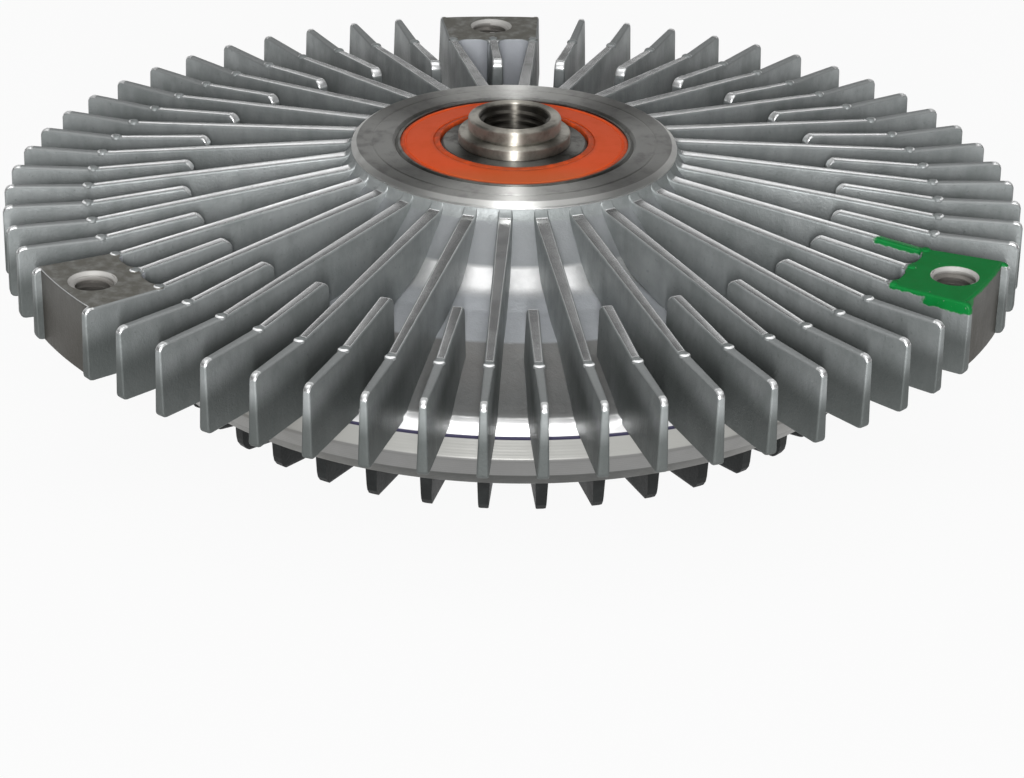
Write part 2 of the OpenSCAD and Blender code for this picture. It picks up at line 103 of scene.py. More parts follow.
class ClutchSizes(bpy.types.PropertyGroup):
    fin_tip_radius: FloatProperty(
        name="Fin tip radius", description="Radius of the fin tips", default=0.1, unit="LENGTH")
    long_fin_radius: FloatProperty(
        name="Long fin radius", description="Inner radius of the long fins", default=0.0315, unit="LENGTH")
    short_fin_radius: FloatProperty(
        name="Short fin radius", description="Inner radius of the short fins", default=0.0635, unit="LENGTH")
    crest_radius: FloatProperty(
        name="Crest radius", description="Radius where a fin crest starts to climb", default=0.0837, unit="LENGTH")
    crest_slope: FloatProperty(
        name="Crest slope", description="Slope of the climbing crest", default=CREST_SLOPE, subtype="ANGLE")
    fin_thickness: FloatProperty(
        name="Fin thickness", description="Thickness of a fin at its tip", default=0.0013, unit="LENGTH")
    fin_draft: FloatProperty(
        name="Fin draft", description="Draft of each fin side", default=math.radians(1.8), subtype="ANGLE")
    fin_flare: FloatProperty(
        name="Fin flare", description="Opening of a fin side inwards", default=math.radians(0.82), subtype="ANGLE")
    fin_round: FloatProperty(
        name="Fin edge radius", description="Rounding of the fin edges", default=0.0004, unit="LENGTH")
    fin_fillet: FloatProperty(
        name="Fin fillet", description="Fillet where a fin meets the body", default=0.0008, unit="LENGTH")
    pad_height: FloatProperty(name="Pad height", description="Height of a fan pad", default=0.0143, unit="LENGTH")
    hole_circle_radius: FloatProperty(
        name="Fan hole circle", description="Radius of the fan hole circle", default=HOLE_CIRCLE * MM, unit="LENGTH")
    hole_radius: FloatProperty(
        name="Fan hole radius", description="Radius inside the thread of a fan hole", default=0.0033, unit="LENGTH")
    hole_thread_radius: FloatProperty(
        name="Fan thread radius", description="Outer radius of the thread in a fan hole", default=0.004, unit="LENGTH")
    hole_pitch: FloatProperty(
        name="Fan thread pitch", description="Pitch of the thread in a fan hole", default=0.00125, unit="LENGTH")
    sink_radius: FloatProperty(
        name="Countersink radius", description="Radius of a fan hole's countersink", default=0.00455, unit="LENGTH")
    bore_radius: FloatProperty(
        name="Drive bore radius", description="Radius inside the drive bore's thread", default=0.00625, unit="LENGTH")
    bore_thread_radius: FloatProperty(
        name="Drive thread radius", description="Outer radius of its thread", default=0.0068, unit="LENGTH")
    bore_pitch: FloatProperty(
        name="Drive thread pitch", description="Pitch of the thread of the drive bore", default=0.0015, unit="LENGTH")
    strip_corner: FloatProperty(
        name="Strip corner radius", description="Corner radius of the strip", default=0.002, unit="LENGTH")
    strip_round: FloatProperty(
        name="Strip edge radius", description="Rounding of the strip's edges", default=0.00012, unit="LENGTH")
    strip_held: FloatProperty(
        name="Strip held from", description="Where a strip end is held, from the axis", default=0.0235, unit="LENGTH")
    strip_pushed: FloatProperty(
        name="Strip pushed within", description="What follows the pin, from the axis", default=0.0023, unit="LENGTH")
    strip_steps: IntProperty(name="Strip steps", description="Steps along half of the strip", default=24, min=8)
    turn_steps: IntProperty(name="Turn steps", description="Steps of a turned piece", default=160, min=48)


class ClutchColours(bpy.types.PropertyGroup):
    cast: FloatVectorProperty(
        name="Cast aluminium", description="As-cast skin of the housing", subtype="COLOR", default=(0.34, 0.358, 0.36))
    cast_dull: FloatVectorProperty(
        name="Cast aluminium, dull", description="Duller patches of the cast skin",
        subtype="COLOR", default=(0.22, 0.238, 0.236))
    turned: FloatVectorProperty(
        name="Turned aluminium", description="Machined ring and rim", subtype="COLOR", default=(0.43, 0.43, 0.415))
    # Near white: worn bare metal with a painted highlight on crests, noses, ejector marks and tip corners.
    crest: FloatVectorProperty(
        name="Fin crest", description="Bare edge of the climbing fin crests",
        subtype="COLOR", default=(0.92, 0.93, 0.93))
    pad: FloatVectorProperty(
        name="Pad face", description="Milled and stained face of a fan pad",
        subtype="COLOR", default=(0.13, 0.124, 0.105))
    paint: FloatVectorProperty(
        name="Marking paint", description="Paint of the marked fan pad", subtype="COLOR", default=(0.001, 0.125, 0.019))
    # Near black: painted shade under the housing.
    cover: FloatVectorProperty(
        name="Front cover", description="Dark cast front cover", subtype="COLOR", default=(0.008, 0.009, 0.009))
    seal: FloatVectorProperty(
        name="Bearing seal", description="Rubber seal of the bearing", subtype="COLOR", default=(0.62, 0.07, 0.01))
    shaft: FloatVectorProperty(
        name="Drive shaft", description="Turned steel of the drive shaft", subtype="COLOR", default=(0.47, 0.45, 0.4))
    # Dark: painted shade on the bearing rings, deep in the hub.
    steel: FloatVectorProperty(
        name="Bearing steel", description="Ground steel of the bearing rings",
        subtype="COLOR", default=(0.2, 0.2, 0.185))
    floor: FloatVectorProperty(name="Floor", description="Pale studio floor", subtype="COLOR", default=(0.6, 0.6, 0.6))


# Edit-mode tools

def deselect():
    if bpy.context.object and bpy.context.object.mode != "OBJECT":
        bpy.ops.object.mode_set(mode="OBJECT")
    bpy.ops.object.select_all(action="DESELECT")


def choose(*objects):
    """Selects these objects alone, with the first one active."""
    deselect()
    for obj in objects:
        obj.select_set(True)
    bpy.context.view_layer.objects.active = objects[0]


def enter(obj):
    """Opens one object in edit mode, by itself."""
    choose(obj)
    bpy.ops.object.mode_set(mode="EDIT")


def leave(obj):
    """Closes edit mode and puts the object's place into its mesh."""
    choose(obj)
    bpy.ops.object.transform_apply(location=True, rotation=True, scale=True)
    return obj


def pick(kind, test):
    """Selects the vertices, edges or faces of the open mesh that pass a test."""
    bpy.ops.mesh.select_mode(type=kind)
    bpy.ops.mesh.select_all(action="DESELECT")
    obj = bpy.context.edit_object
    mesh = bmesh.from_edit_mesh(obj.data)
    mesh.normal_update()
    items = {"VERT": mesh.verts, "EDGE": mesh.edges, "FACE": mesh.faces}[kind]
    for item in [item for item in items if test(item)]:
        item.select_set(True)
    mesh.select_flush_mode()
    bmesh.update_edit_mesh(obj.data)


def middle(item):
    return sum((v.co for v in item.verts), Vector()) / len(item.verts)


def pick_all():
    bpy.ops.mesh.select_mode(type="VERT")
    bpy.ops.mesh.select_all(action="SELECT")


def mend():
    """Merges doubled points and turns every face outwards."""
    pick_all()
    bpy.ops.mesh.remove_doubles(threshold=4e-6)
    pick_all()
    bpy.ops.mesh.normals_make_consistent(inside=False)


def trace(name, points, closed=True):
    """Draws a line by extruding one point along it, and leaves it open in edit mode with all of it selected."""
    deselect()
    points = [Vector(p) for p in points]
    bpy.ops.mesh.primitive_plane_add(size=0.01, location=points[0])
    obj = bpy.context.object
    obj.name = obj.data.name = name
    enter(obj)
    pick_all()
    bpy.ops.mesh.merge(type="CENTER")
    path = points + points[:1] if closed else points
    for here, there in zip(path, path[1:]):
        bpy.ops.mesh.extrude_region_move(TRANSFORM_OT_translate={"value": there - here})
    pick_all()
    bpy.ops.mesh.remove_doubles(threshold=1e-6)
    pick_all()
    return obj


def profile(points, turn=0.0):
    """Points in space of a list of radius and height in millimetres, at an angle in degrees round the axis."""
    a = math.radians(turn)
    return [(r * MM * math.cos(a), r * MM * math.sin(a), z * MM) for r, z in points]


def arc(centre, radius, start, end, steps):
    """Points of an arc, with its angles in degrees."""
    turns = [math.radians(start + (end - start) * i / steps) for i in range(steps + 1)]
    return [(centre[0] + radius * math.cos(a), centre[1] + radius * math.sin(a)) for a in turns]


def turned(name, points, steps, closed=True):
    """A piece turned round the axis from its section."""
    obj = trace(name, profile(points), closed)
    bpy.ops.mesh.spin(steps=steps, angle=2 * math.pi, center=(0, 0, 0), axis=(0, 0, 1))
    mend()
    return leave(obj)


def use_modifier(obj, kind, **settings):
    """Adds a modifier and applies it."""
    choose(obj)
    bpy.ops.object.modifier_add(type=kind)
    modifier = obj.modifiers[-1]
    for name, value in settings.items():
        setattr(modifier, name, value)
    bpy.ops.object.modifier_apply(modifier=modifier.name)


def combine(obj, tool, operation):
    """Joins another closed shape to this one, or cuts it away, and deletes the tool."""
    use_modifier(obj, "BOOLEAN", object=tool, operation=operation, solver="EXACT")
    bpy.data.objects.remove(tool)
    return obj


def copy_of(obj, turn=0.0, mirrored=False):
    """A copy with its own mesh, turned round the axis, in degrees."""
    twin = obj.copy()
    twin.data = obj.data.copy()
    bpy.context.scene.collection.objects.link(twin)
    flip = Matrix.Diagonal((1, -1 if mirrored else 1, 1, 1))
    twin.matrix_world = Matrix.Rotation(math.radians(turn), 4, "Z") @ flip
    return twin


def gather(name, objects):
    """Joins objects into one with that name."""
    choose(*objects)
    if len(objects) > 1:
        bpy.ops.object.join()
    obj = bpy.context.object
    bpy.ops.object.transform_apply(location=True, rotation=True, scale=True)
    obj.name = obj.data.name = name
    return obj


def smooth(obj, degrees=40):
    """Smooth shading below that angle, with flat faces kept flat."""
    choose(obj)
    bpy.ops.object.shade_smooth_by_angle(angle=math.radians(degrees))
    use_modifier(obj, "WEIGHTED_NORMAL", mode="FACE_AREA", weight=50, keep_sharp=True)
    return obj


def thread(name, inner, outer, pitch, low, high, steps):
    """A helical ridge inside a bore, with its foot sunk into the wall. All lengths are in millimetres."""
    foot = outer + 0.12
    points = [(foot, 0.06), (inner, 0.4), (inner, 0.6), (foot, 0.94)]
    shape = [(r, low + z * pitch) for r, z in points]
    obj = trace(name, profile(shape))
    leave(obj)
    turns = int((high - low) / pitch) - 1
    use_modifier(obj, "SCREW", axis="Z", angle=2 * math.pi, screw_offset=pitch * MM, iterations=turns,
                 steps=steps, render_steps=steps, use_merge_vertices=False)
    enter(obj)
    pick_all()
    bpy.ops.mesh.fill_holes(sides=0)
    mend()
    return leave(obj)


# Materials

class Wire:
    """One output socket, used in ordinary sums."""

    def __init__(self, network, socket):
        self.network = network
        self.socket = socket

    def sum(self, operation, *values):
        return self.network.node("ShaderNodeMath", {"operation": operation}, values)

    def __add__(self, other):
        return self.sum("ADD", self, other)

    def __sub__(self, other):
        return self.sum("SUBTRACT", self, other)

    def __rsub__(self, other):
        return self.sum("SUBTRACT", other, self)

    def __mul__(self, other):
        return self.sum("MULTIPLY", self, other)

    def __abs__(self):
        return self.sum("ABSOLUTE", self)

    __radd__ = __add__
    __rmul__ = __mul__


class Network:
    """The nodes of a material or of the sky."""

    def __init__(self, tree):
        self.nodes = tree.nodes
        self.links = tree.links
        self.nodes.clear()

    def node(self, kind, settings=None, values=(), output=0):
        """Adds a node, sets it, feeds its sockets with numbers or wires, and returns one of its outputs."""
        node = self.nodes.new(kind)
        for name, value in (settings or {}).items():
            setattr(node, name, value)
        pairs = values.items() if isinstance(values, dict) else enumerate(values)
        for key, value in pairs:
            if isinstance(value, Wire):
                self.links.new(value.socket, node.inputs[key])
            else:
                node.inputs[key].default_value = value
        return Wire(self, node.outputs[output]) if node.outputs else None

    def vector(self, operation, first, second=(0, 0, 0), output=0):
        return self.node("ShaderNodeVectorMath", {"operation": operation}, (first, second), output)

    def parts(self, vector):
        """X, Y and Z of a vector."""
        return tuple(self.node("ShaderNodeSeparateXYZ", {}, (vector,), output=i) for i in range(3))

    def span(self, value, low, high):
        """0 at low and 1 at high, smooth between them. Low may be the larger of the two."""
        settings = {"interpolation_type": "SMOOTHSTEP", "clamp": True}
        return self.node("ShaderNodeMapRange", settings, (value, low, high, 0.0, 1.0))

    def step(self, value, low, high):
        """Span with both ends in millimetres."""
        return self.span(value, low * MM, high * MM)

    def mix(self, first, second, factor):
        """Colour between two colours."""
        first, second = (c if isinstance(c, Wire) else (*c, 1.0) for c in (first, second))
        return self.node("ShaderNodeMix", {"data_type": "RGBA"}, {0: factor, 6: first, 7: second}, output=2)

    def larger(self, first, *others):
        """The largest of several values."""
        for other in others:
            first = self.node("ShaderNodeMath", {"operation": "MAXIMUM"}, (first, other))
        return first


class Surface(Network):
    """A material built from nodes, with the place and the facing of each point."""

    def __init__(self, name):
        self.material = bpy.data.materials.new(name)
        self.material.use_nodes = True
        super().__init__(self.material.node_tree)
        self.place = self.node("ShaderNodeTexCoord", output=3)
        self.x, self.y, self.z = self.parts(self.place)
        self.radius = self.distance((0, 0, 0))
        facing = self.node("ShaderNodeTexCoord", output=1)
        self.upward = self.parts(facing)[2]
        away = self.vector("NORMALIZE", self.vector("MULTIPLY", self.place, (1, 1, 0)))
        self.outward = self.vector("DOT_PRODUCT", facing, away, output=1)

    def distance(self, centre):
        """Distance from an upright line through a point."""
        flat = self.vector("MULTIPLY", self.place, (1, 1, 0))
        return self.vector("DISTANCE", flat, (centre[0], centre[1], 0), output=1)

    def noise(self, size, detail=3.0, roughness=0.5, stretch=(1, 1, 1)):
        """Noise with features of about that size, in millimetres."""
        place = self.vector("MULTIPLY", self.place, stretch)
        values = {"Vector": place, "Scale": 1 / (size * MM), "Detail": detail, "Roughness": roughness}
        return self.node("ShaderNodeTexNoise", {}, values)

    def grooves(self, value, pitch):
        """Fine tool marks along a value, uneven in depth: two waves, one with a wider pitch. In millimetres."""
        pitch = pitch * MM
        wide = pitch * 2.7
        return self.sine(value * (2 * math.pi / pitch)) * 0.5 + self.sine(value * (2 * math.pi / wide)) * 0.5

    def sine(self, value):
        return self.node("ShaderNodeMath", {"operation": "SINE"}, (value,))

    def bump(self, height, depth, strength):
        """Bumps of that depth, in millimetres."""
        return self.node("ShaderNodeBump", {}, {"Strength": strength, "Distance": depth * MM, "Height": height})

    def done(self, **sockets):
        """Finishes the material with its shader. Keys are shader sockets, with _ for a space."""
        values = {key.replace("_", " "): value for key, value in sockets.items()}
        shader = self.node("ShaderNodeBsdfPrincipled", {}, values)
        self.node("ShaderNodeOutputMaterial", {}, (shader,))
        return self.material


def dress(obj, material):
    obj.data.materials.clear()
    obj.data.materials.append(material)
    return obj


class CastMasks:
    """Where the worn, bare, turned and milled places of the housing are, and where highlights and shade are painted:
    each is 1 there and 0 elsewhere.
    """

    def __init__(self, s):
        self.over = s.z - (CREST_LINE * MM - s.radius) * math.tan(CREST_SLOPE)
        self.fins(s)
        self.body_and_band(s)
        self.rim_and_ring(s)
        self.pads(s)

    def fins(self, s):
        """Climbing crests, rounded noses, ejector marks and tip corners, which are worn bare and painted near white as
        highlights, and the level crests, painted darker as shade.
        """
        over = self.over
        reach = s.step(s.radius, 82.7, 82.3) * s.step(s.radius, 33, 33.3)
        climbing = s.step(over, -0.55, -0.35) * s.span(s.upward, 0.85, 0.96) * reach
        nose = s.step(over, -1.9, -1.6) * s.span(s.upward, 0.12, 0.35)
        nose = nose * s.step(abs(s.radius - 63.5 * MM), 2.2, 1.8)
        self.nose = nose * s.span(s.outward, -0.08, -0.3)
        mark = s.step(s.z, 0, 0.05) * s.step(abs(s.radius - 84.3 * MM), 0.85, 0.75)
        self.mark = mark * s.span(s.outward, 0.1, 0.3)
        corner = s.step(s.radius, 97.9, 98.4) * s.step(s.z, -1.9, -1.3)
        self.corner = corner * s.span(abs(s.upward), 0.1, 0.35)
        self.polished = s.larger(climbing, self.nose, self.corner)
        self.bare = s.larger(self.polished, self.mark)
        level = s.step(s.z, -0.7, -0.4) * s.step(s.radius, 83, 84.6)
        self.level = level * (1 - self.mark)

    def body_and_band(self, s):
        """The sloped body, the painted highlight band on its foot, and the painted shade deep between the fins."""
        body = s.span(s.upward, 0.45, 0.65) * (1 - self.bare) * s.step(self.over, -0.6, -0.9)
        self.body = body * s.step(s.radius, 84, 82)
        self.band = s.step(s.radius, 39.2, 40) * s.step(s.radius, 47, 43) * self.body
        shade = s.step(self.over, -0.6, -6.5) * s.step(s.radius, 56, 86)
        self.shade = shade * (1 - self.body) * (1 - self.bare)

    def rim_and_ring(self, s):
        """The turned rim with its lip and its joint groove, and the turned seat of the ring."""
        inside = s.step(s.radius, 80.5, 80)
        wall = s.step(s.radius, 74.4, 75.2) * s.step(s.z, -13.0, -13.4) * inside
        lip = s.step(s.z, -25.2, -25.6) * s.step(s.radius, 71, 71.6) * inside
        self.rim = s.larger(wall, lip)
        ring = s.step(s.z, 7.7, 7.8) * s.step(s.radius, 33, 32.5)
        self.machined = s.larger(ring, self.rim)
        self.joint = s.step(s.z, -16.84, -16.74) * s.step(s.z, -16.06, -16.16)

    def pads(self, s):
        """The milled faces of the pads, their outer walls with painted shade, the pockets on their inner side with
        painted light, and the holes.
        """
        centres = []
        for turn in PAD_TURNS:
            a = math.radians(turn)
            centres.append(s.distance((HOLE_CIRCLE * MM * math.cos(a), HOLE_CIRCLE * MM * math.sin(a))))
        pad = sum(s.step(away, 15, 14.6) for away in centres)
        self.hole = sum(s.step(away, 4.62, 4.5) for away in centres)
        top = s.step(s.z, -0.12, -0.04) * s.step(s.z, 0.15, 0.1)
        self.pad_face = pad * top * s.step(s.radius, 82.9, 83.3)
        wall = s.step(s.radius, 98.3, 98.5) * s.step(s.radius, 98.9, 98.75)
        self.pad_wall = pad * wall * s.span(s.outward, 0.7, 0.9) * s.step(s.z, -0.1, -0.4)
        pocket = s.step(s.radius, 84.6, 84.2) * s.span(s.upward, 0.5, 0.2)
        self.pocket = pad * pocket * s.span(s.outward, -0.2, -0.5)


def paint_mask(s, hole):
    """Where one pad is painted, with ragged edges: its top, the crest of the fin beside it, and a drip at a corner.

    u runs outwards along the middle of that pad, v across it, and side is the distance past the fins beside it.
    """
    a = math.radians(PAINTED_PAD)
    ragged = (s.noise(1.6, 3.0, 0.6) - 0.5) * (1.1 * MM)
    u = s.x * math.cos(a) + s.y * math.sin(a)
    v = s.y * math.cos(a) - s.x * math.sin(a)
    side = abs(v) - u * math.tan(math.radians(FIN_STEP)) + ragged
    on_top = s.step(s.z + ragged, -0.9, -0.6) * s.step(side, 1.7, 1.4)
    on_top = on_top * s.step(u + ragged * 0.6, 82.9, 83.3)
    crest = (CREST_LINE * MM - u) * math.tan(CREST_SLOPE)
    on_fin = s.step(side, 1.9, 1.6) * s.step(side, -1.6, -1.2) * s.step(v, 0, 1)
    on_fin = on_fin * s.step(u + ragged * 2.0, 73.2, 74) * s.step(u, 88, 87)
    on_fin = on_fin * s.step(s.z - crest + ragged, -1.3, -0.9)
    drip = s.step(v, -6, -7) * s.step(side, 2.4, 2.0)
    drip = drip * s.step(u + ragged * 2.0, 89.5, 90.2) * s.step(s.z + ragged, -2.4, -2.0)
    return s.larger(on_top, on_fin, drip) * (1 - hole) * s.span(s.noise(0.8, 2.0), 0.22, 0.3)


def body_shade_and_highlight(s, band):
    """Colour of the sloped body from the ring down to the rim: lighter near the ring and darker towards the rim as
    painted reflection and shade, with a painted highlight band.
    """
    colour = s.mix((0.52, 0.54, 0.57), (0.25, 0.26, 0.27), s.step(s.radius, 44, 42))
    colour = s.mix(colour, (0.21, 0.206, 0.2), s.step(s.radius, 59.8, 60.4))
    colour = s.mix(colour, (0.15, 0.15, 0.147), s.step(s.radius, 66, 76))
    return s.mix(colour, (0.8, 0.8, 0.8), band)


def rim_highlight_and_shade(s, joint):
    """Colour of the turned rim from its top to its lip: a painted highlight at the top, painted shade darker down to
    the lip and away from the front, and the dark line of its joint groove.
    """
    colour = s.mix((0.8, 0.8, 0.8), (0.42, 0.42, 0.4), s.step(s.z, -16.2, -16.7))
    colour = s.mix(colour, (0.22, 0.22, 0.215), s.step(s.z, -20.5, -20.8))
    colour = s.mix(colour, (0.05, 0.052, 0.048), s.step(s.z, -25.3, -25.7))
    # Painted light: the rim is lighter at the front.
    colour = s.mix((0.16, 0.155, 0.14), colour, s.step(s.y, -60, -76) * 0.6 + 0.4)
    return s.mix(colour, (0.05, 0.047, 0.085), joint)


def cast_material(colours):
    """As-cast skin, with turned ring and rim, milled pads, and paint on one of them."""
    s = Surface("cast_aluminium")
    blotch = s.noise(9, 4.0, 0.6)
    cloud = s.noise(28, 2.0)
    grain = s.noise(0.55, 3.0, 0.7)
    flow = s.noise(2.6, 3.0, 0.6, (1, 1, 0.35))
    dull = s.span(blotch * 0.6 + cloud * 0.4 + flow * 0.25, 0.42, 0.82)
    speck = s.span(s.noise(1.1, 4.0, 0.7), 0.6, 0.72)
    at = CastMasks(s)
    paint = paint_mask(s, at.hole)

    skin = s.mix(colours.cast, colours.cast_dull, dull)
    skin = s.mix(skin, (0.1, 0.11, 0.105), speck * 0.35)
    # Painted reflection and shade down the body, with a painted highlight band.
    skin = s.mix(skin, body_shade_and_highlight(s, at.band), at.body * (0.95 - dull * 0.3))
    # Painted shade: the level crests are darker.
    skin = s.mix(skin, (0.25, 0.26, 0.26), at.level * 0.8)
    # Painted shade low between the fins.
    skin = s.mix(skin, (0.07, 0.078, 0.075), at.shade * 0.82)
    # Painted highlight on worn bare metal: crests, noses, ejector marks and tip corners turn near white.
    skin = s.mix(skin, colours.crest, at.bare * (1 - speck * 0.3))
    turned_colour = s.mix(colours.turned, (0.38, 0.38, 0.385), cloud)
    turned_colour = s.mix(turned_colour, rim_highlight_and_shade(s, at.joint), at.rim)
    skin = s.mix(skin, turned_colour, at.machined)
    pad_colour = s.mix(colours.pad, (0.25, 0.25, 0.235), s.span(flow, 0.4, 0.75))
    skin = s.mix(skin, pad_colour, at.pad_face * 0.9)
    # Painted shade: the outer walls of the pads are darker.
    skin = s.mix(skin, (0.07, 0.064, 0.055), at.pad_wall * 0.85)
    # Painted light: the pocket walls are lighter and bluer.
    skin = s.mix(skin, (0.5, 0.52, 0.56), at.pocket * 0.9)
    # Painted shade: the fan holes are darker deeper down.
    bore_colour = s.mix((0.2, 0.19, 0.175), (0.5, 0.49, 0.47), s.step(s.z, -1.5, -0.6))
    skin = s.mix(skin, bore_colour, at.hole)
    skin = s.mix(skin, s.mix(colours.paint, (0.003, 0.19, 0.04), flow), paint)

    marks = s.grooves(s.radius + s.z * 0.5, 0.3)
    rugged = (1 - at.machined * 0.93) * (1 - at.pad_face * 0.7) * (1 - paint * 0.75)
    rugged = rugged * (1 - at.bare * 0.9) * (1 - at.band * 0.6)
    relief = (grain * 0.6 + flow * 0.9) * rugged + marks * at.machined * 0.06
    rough = 0.42 + dull * 0.12 + grain * 0.06 + paint * 0.02 + at.nose * 0.2 + at.corner * 0.12 + at.level * 0.12
    rough = rough - at.machined * 0.14 - at.polished * 0.3 - at.band * 0.1
    metal = 0.5 + at.machined * 0.4 + at.polished * 0.5 + at.band * 0.4 - at.level * 0.1 - at.pocket * 0.3
    metal = (1 - paint) * (1 - at.joint * at.rim) * metal
    return s.done(Base_Color=skin, Metallic=metal, Roughness=rough, IOR=1.25, Normal=s.bump(relief, 0.22, 0.6))


def turned_material(name, colour, dark, pitch, roughness, depth, highlight_from=100):
    """Turned metal: fine rings round the axis that stretch its gloss, thin stains, and painted shade in the bore.

    Pitch and depth of the rings, and the radius from which a painted highlight lightens the metal, are in millimetres.
    """
    s = Surface(name)
    stain = s.span(s.noise(3.2, 4.0, 0.65), 0.45, 0.72)
    bands = s.noise(1.0, 2.0, 0.5, (0.02, 0.02, 1))
    base = s.mix(colour, dark, stain * 0.55 + bands * 0.25)
    # Painted shade: darker inside the bore.
    base = s.mix(base, tuple(c * 0.3 for c in dark), s.step(s.radius, 7.1, 6.9) * 0.8)
    # Painted highlight: lighter metal from that radius out.
    base = s.mix(base, (0.78, 0.78, 0.76), s.step(s.radius, highlight_from, highlight_from + 0.2))
    marks = s.grooves(s.radius + s.z, pitch)
    return s.done(Base_Color=base, Metallic=1.0, Roughness=roughness + stain * 0.1 + bands * 0.05, Anisotropic=0.95,
                  Anisotropic_Rotation=0.25, Normal=s.bump(marks * 0.5 + s.noise(0.4) * 0.15, depth, 0.5))


def rubber_material(name, colour, shade, roughness):
    """Moulded rubber or plastic: a faint pebble and dust."""
    s = Surface(name)
    dust = s.span(s.noise(4, 4.0, 0.6), 0.4, 0.75)
    base = s.mix(colour, shade, dust * 0.45)
    pebble = s.bump(s.noise(0.5, 3.0), 0.05, 0.5)
    return s.done(Base_Color=base, Roughness=roughness + dust * 0.12, Normal=pebble)


def seal_material(colours):
    """Orange seal: moulded rubber, darker towards both edges, with painted shade on its front."""
    s = Surface("orange_rubber")
    dust = s.span(s.noise(5, 4.0, 0.6), 0.4, 0.8)
    edge_darkening = s.step(s.radius, 16.9, 15.2) * 0.55 + s.step(s.radius, 21.4, 22.2) * 0.5
    base = s.mix(colours.seal, (0.5, 0.07, 0.016), dust * 0.5)
    # Painted shade: the front of the seal is darker and browner.
    base = s.mix(base, (0.42, 0.11, 0.035), s.step(s.y, -12, -20) * 0.6)
    base = s.mix(base, (0.13, 0.035, 0.015), edge_darkening * s.span(s.noise(2.2, 3.0), 0.25, 0.6))
    pebble = s.bump(s.noise(0.6, 3.0), 0.05, 0.5)
    return s.done(Base_Color=base, Roughness=0.45 + dust * 0.12, IOR=1.25, Normal=pebble)


def cover_material(colours):
    """Cover painted near black as the shade under the housing, with bare turned rims."""
    s = Surface("cover_painted_shade")
    patch = s.span(s.noise(7, 4.0, 0.6), 0.4, 0.75)
    grain = s.noise(0.6, 3.0, 0.7)
    base = s.mix(colours.cover, (0.018, 0.02, 0.02), patch)
    bare = s.step(s.radius, 72.2, 72.6)
    base = s.mix(base, (0.4, 0.4, 0.4), bare)
    return s.done(Base_Color=base, Metallic=0.08 + bare * 0.85, Roughness=0.5 + patch * 0.12, IOR=1.3,
                  Normal=s.bump(grain, 0.16, 0.6))


def plain_steel(name, colour, roughness, grain=0.5):
    """Rolled or pressed metal, with a fine directional grain and faint stains."""
    s = Surface(name)
    stain = s.span(s.noise(5, 4.0, 0.6), 0.4, 0.75)
    lines = s.noise(0.5, 3.0, 0.6, (0.08, 1, 1))
    base = s.mix(colour, tuple(c * 0.6 for c in colour), stain * 0.6)
    return s.done(Base_Color=base, Metallic=1.0, Roughness=roughness + stain * 0.1 + lines * 0.06,
                  Normal=s.bump(lines, 0.03, grain))


# Rear housing

def crest_height(r, sizes):
    """Height of a fin crest at a radius, in millimetres."""
    top = -0.05
    start = sizes.crest_radius / MM
    return top if r > start else top + (start - r) * math.tan(sizes.crest_slope)


def fin_outline(inner, foot, sizes):
    """Side outline of a housing fin: a long one runs up into the ring, a short one ends in a rounded nose.

    The outline, the inner radius and the height of the fin's foot are in millimetres.
    """
    tip = sizes.fin_tip_radius / MM
    low = -sizes.pad_height / MM
    nose = 2
    centre = (inner + nose, crest_height(inner + nose, sizes) - nose)
    start = arc(centre, nose, 90 + math.degrees(sizes.crest_slope), 180, 6)
    if inner < RING_WALL:
        start = (
            [(34.4, crest_height(34.4, sizes)), (33.6, 6.33), (33.0, 6.52), (32.55, 6.85)]
            + [(32.25, 7.3), (32.1, 7.6), (inner, 7.6)]
        )
    return (
        arc((tip - 1.4, -1.45), 1.4, 0, 90, 5)
        + [(sizes.crest_radius / MM, -0.05)]
        + start
        + [(inner, foot), (60, min(-8, foot)), (69.5, -10.4), (72, -13), (75.5, low)]
        + arc((tip - 1, low + 1), 1, 270, 360, 3)
    )


def fin_blank(name, inner, foot, sizes):
    """A fin along +X: its outline filled and thickened, its sides cut to their draft, its edges rounded."""
    half = 4 * MM
    obj = trace(name, [Vector(p) - Vector((0, half, 0)) for p in profile(fin_outline(inner, foot, sizes))])
    bpy.ops.mesh.edge_face_add()
    bpy.ops.mesh.extrude_region_move(TRANSFORM_OT_translate={"value": (0, 2 * half, 0)})
    mend()
    for side in (1, -1):
        pick_all()
        edge = (sizes.fin_tip_radius, side * sizes.fin_thickness / 2, 0)
        away = Vector((math.tan(sizes.fin_flare), side, math.tan(sizes.fin_draft)))
        bpy.ops.mesh.bisect(plane_co=edge, plane_no=away, use_fill=True, clear_outer=True, threshold=1e-7)
    mend()
    pick("EDGE", lambda e: sorted(abs(f.normal.y) > 0.9 for f in e.link_faces) == [False, True])
    bpy.ops.mesh.bevel(offset=sizes.fin_round, segments=3, affect="EDGES")
    mend()
    return leave(obj)


